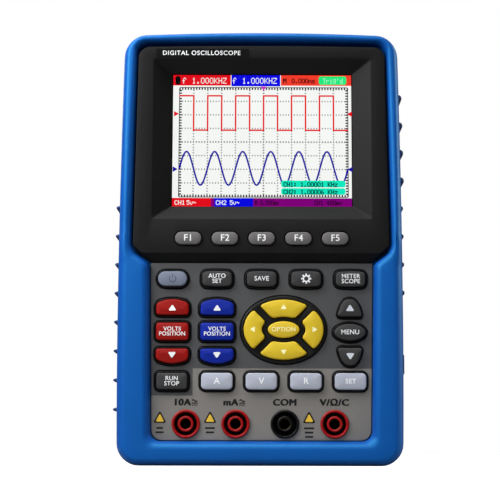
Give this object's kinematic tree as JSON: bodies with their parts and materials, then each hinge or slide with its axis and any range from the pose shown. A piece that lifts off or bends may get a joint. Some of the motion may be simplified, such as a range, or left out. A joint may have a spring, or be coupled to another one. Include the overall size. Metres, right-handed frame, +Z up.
{
  "type": "handheld oscilloscope",
  "caption": "Handheld oscilloscope with a colour screen, soft keys, rubber keypad, banana jacks, side input bay, tilt stand and battery door.",
  "frame": {"origin": "bottom centre of the bounding box, on the surface that the case stands on", "axes": "+Z up the case, the screen faces -Y, +X to the right of a person facing the screen"},
  "size_m": [0.1188, 0.0397, 0.1792],
  "materials": {
    "case_blue": "satin moulded, fine texture",
    "bezel_black": "satin moulded",
    "panel_grey": "fine matt texture, paler round the jacks",
    "rubber_black": "silicone, soft sheen",
    "grip_rubber": "matt rubber",
    "window_clear": "clear, polished",
    "lcd_glass": "lit screen behind glass",
    "key_grey": "matt silicone with pale legends",
    "key_power": "satin silicone",
    "key_red": "satin silicone",
    "key_blue": "satin silicone",
    "key_yellow": "satin silicone",
    "key_white": "satin silicone",
    "jack_red": "semi-gloss moulded",
    "jack_black": "semi-gloss moulded",
    "back_grey": "fine matt texture",
    "board_green": "solder mask",
    "battery_wrap": "shrink wrap",
    "brass": "turned",
    "nickel": "plated",
    "steel": "zinc plated"
  },
  "bodies": {
    "case": {"front_shell": "case_blue", "rear_shell": "case_blue", "display_bezel": "bezel_black", "control_panel": "panel_grey", "display_window": "window_clear", "lcd_module": "lcd_glass", "keypad_mat": "rubber_black", "key_board": "board_green", "main_board": "board_green", "battery_pack": "battery_wrap", "battery_door": "back_grey", "battery_door_screw": "steel", "usb_port": "nickel", "grip_left": "grip_rubber", "grip_right": "grip_rubber", "bnc_ch1": "nickel", "bnc_ch2": "nickel", "case_screw_1": "steel", "case_screw_2": "steel", "case_screw_3": "steel", "case_screw_4": "steel", "jack_10a": "jack_red", "contact_10a": "brass", "jack_ma": "jack_red", "contact_ma": "brass", "jack_com": "jack_black", "contact_com": "brass", "jack_volt": "jack_red", "contact_volt": "brass"},
    "key_f1": {"key_f1": "key_grey"},
    "key_f2": {"key_f2": "key_grey"},
    "key_f3": {"key_f3": "key_grey"},
    "key_f4": {"key_f4": "key_grey"},
    "key_f5": {"key_f5": "key_grey"},
    "key_power": {"key_power": "key_power"},
    "key_auto": {"key_auto": "key_grey"},
    "key_save": {"key_save": "key_grey"},
    "key_backlight": {"key_backlight": "key_grey"},
    "key_mode": {"key_mode": "key_grey"},
    "key_ch1_up": {"key_ch1_up": "key_red"},
    "key_ch1_volts": {"key_ch1_volts": "key_red"},
    "key_ch1_down": {"key_ch1_down": "key_red"},
    "key_ch2_up": {"key_ch2_up": "key_blue"},
    "key_ch2_volts": {"key_ch2_volts": "key_blue"},
    "key_ch2_down": {"key_ch2_down": "key_blue"},
    "key_arrow_up": {"key_arrow_up": "key_yellow"},
    "key_arrow_left": {"key_arrow_left": "key_yellow"},
    "key_arrow_down": {"key_arrow_down": "key_yellow"},
    "key_arrow_right": {"key_arrow_right": "key_yellow"},
    "key_ok": {"key_ok": "key_yellow"},
    "key_menu_up": {"key_menu_up": "key_grey"},
    "key_menu": {"key_menu": "key_grey"},
    "key_menu_down": {"key_menu_down": "key_grey"},
    "key_run_stop": {"key_run_stop": "key_grey"},
    "key_amps": {"key_amps": "key_white"},
    "key_volts": {"key_volts": "key_white"},
    "key_ohms": {"key_ohms": "key_white"},
    "key_auto_range": {"key_auto_range": "key_white"},
    "kickstand": {"kickstand": "back_grey"},
    "port_cover": {"port_cover": "grip_rubber"}
  },
  "joints": [
    {"name": "kickstand_tilt", "type": "hinge", "parent": "case", "child": "kickstand", "pos_m": [0, 0.0183, 0.1205], "axis": [1, 0, 0], "range_deg": [0, 50]},
    {"name": "port_cover_open", "type": "hinge", "parent": "case", "child": "port_cover", "pos_m": [0.0574, 0.00355, 0.041], "axis": [0, 0, 1], "range_deg": [0, 105], "stiffness_Nm_per_rad": 0.003},
    {"name": "key_f1_press", "type": "slide", "parent": "case", "child": "key_f1", "axis": [0, 1, 0], "range_m": [0, 0.0008], "stiffness_N_per_m": 1500},
    {"name": "key_f2_press", "type": "slide", "parent": "case", "child": "key_f2", "axis": [0, 1, 0], "range_m": [0, 0.0008], "stiffness_N_per_m": 1500},
    {"name": "key_f3_press", "type": "slide", "parent": "case", "child": "key_f3", "axis": [0, 1, 0], "range_m": [0, 0.0008], "stiffness_N_per_m": 1500},
    {"name": "key_f4_press", "type": "slide", "parent": "case", "child": "key_f4", "axis": [0, 1, 0], "range_m": [0, 0.0008], "stiffness_N_per_m": 1500},
    {"name": "key_f5_press", "type": "slide", "parent": "case", "child": "key_f5", "axis": [0, 1, 0], "range_m": [0, 0.0008], "stiffness_N_per_m": 1500},
    {"name": "key_power_press", "type": "slide", "parent": "case", "child": "key_power", "axis": [0, 1, 0], "range_m": [0, 0.0008], "stiffness_N_per_m": 1500},
    {"name": "key_auto_press", "type": "slide", "parent": "case", "child": "key_auto", "axis": [0, 1, 0], "range_m": [0, 0.0008], "stiffness_N_per_m": 1500},
    {"name": "key_save_press", "type": "slide", "parent": "case", "child": "key_save", "axis": [0, 1, 0], "range_m": [0, 0.0008], "stiffness_N_per_m": 1500},
    {"name": "key_backlight_press", "type": "slide", "parent": "case", "child": "key_backlight", "axis": [0, 1, 0], "range_m": [0, 0.0008], "stiffness_N_per_m": 1500},
    {"name": "key_mode_press", "type": "slide", "parent": "case", "child": "key_mode", "axis": [0, 1, 0], "range_m": [0, 0.0008], "stiffness_N_per_m": 1500},
    {"name": "key_ch1_up_press", "type": "slide", "parent": "case", "child": "key_ch1_up", "axis": [0, 1, 0], "range_m": [0, 0.0008], "stiffness_N_per_m": 1500},
    {"name": "key_ch1_volts_press", "type": "slide", "parent": "case", "child": "key_ch1_volts", "axis": [0, 1, 0], "range_m": [0, 0.0008], "stiffness_N_per_m": 1500},
    {"name": "key_ch1_down_press", "type": "slide", "parent": "case", "child": "key_ch1_down", "axis": [0, 1, 0], "range_m": [0, 0.0008], "stiffness_N_per_m": 1500},
    {"name": "key_ch2_up_press", "type": "slide", "parent": "case", "child": "key_ch2_up", "axis": [0, 1, 0], "range_m": [0, 0.0008], "stiffness_N_per_m": 1500},
    {"name": "key_ch2_volts_press", "type": "slide", "parent": "case", "child": "key_ch2_volts", "axis": [0, 1, 0], "range_m": [0, 0.0008], "stiffness_N_per_m": 1500},
    {"name": "key_ch2_down_press", "type": "slide", "parent": "case", "child": "key_ch2_down", "axis": [0, 1, 0], "range_m": [0, 0.0008], "stiffness_N_per_m": 1500},
    {"name": "key_arrow_up_press", "type": "slide", "parent": "case", "child": "key_arrow_up", "axis": [0, 1, 0], "range_m": [0, 0.0008], "stiffness_N_per_m": 1500},
    {"name": "key_arrow_left_press", "type": "slide", "parent": "case", "child": "key_arrow_left", "axis": [0, 1, 0], "range_m": [0, 0.0008], "stiffness_N_per_m": 1500},
    {"name": "key_arrow_down_press", "type": "slide", "parent": "case", "child": "key_arrow_down", "axis": [0, 1, 0], "range_m": [0, 0.0008], "stiffness_N_per_m": 1500},
    {"name": "key_arrow_right_press", "type": "slide", "parent": "case", "child": "key_arrow_right", "axis": [0, 1, 0], "range_m": [0, 0.0008], "stiffness_N_per_m": 1500},
    {"name": "key_ok_press", "type": "slide", "parent": "case", "child": "key_ok", "axis": [0, 1, 0], "range_m": [0, 0.0008], "stiffness_N_per_m": 1500},
    {"name": "key_menu_up_press", "type": "slide", "parent": "case", "child": "key_menu_up", "axis": [0, 1, 0], "range_m": [0, 0.0008], "stiffness_N_per_m": 1500},
    {"name": "key_menu_press", "type": "slide", "parent": "case", "child": "key_menu", "axis": [0, 1, 0], "range_m": [0, 0.0008], "stiffness_N_per_m": 1500},
    {"name": "key_menu_down_press", "type": "slide", "parent": "case", "child": "key_menu_down", "axis": [0, 1, 0], "range_m": [0, 0.0008], "stiffness_N_per_m": 1500},
    {"name": "key_run_stop_press", "type": "slide", "parent": "case", "child": "key_run_stop", "axis": [0, 1, 0], "range_m": [0, 0.0008], "stiffness_N_per_m": 1500},
    {"name": "key_amps_press", "type": "slide", "parent": "case", "child": "key_amps", "axis": [0, 1, 0], "range_m": [0, 0.0008], "stiffness_N_per_m": 1500},
    {"name": "key_volts_press", "type": "slide", "parent": "case", "child": "key_volts", "axis": [0, 1, 0], "range_m": [0, 0.0008], "stiffness_N_per_m": 1500},
    {"name": "key_ohms_press", "type": "slide", "parent": "case", "child": "key_ohms", "axis": [0, 1, 0], "range_m": [0, 0.0008], "stiffness_N_per_m": 1500},
    {"name": "key_auto_range_press", "type": "slide", "parent": "case", "child": "key_auto_range", "axis": [0, 1, 0], "range_m": [0, 0.0008], "stiffness_N_per_m": 1500}
  ]
}
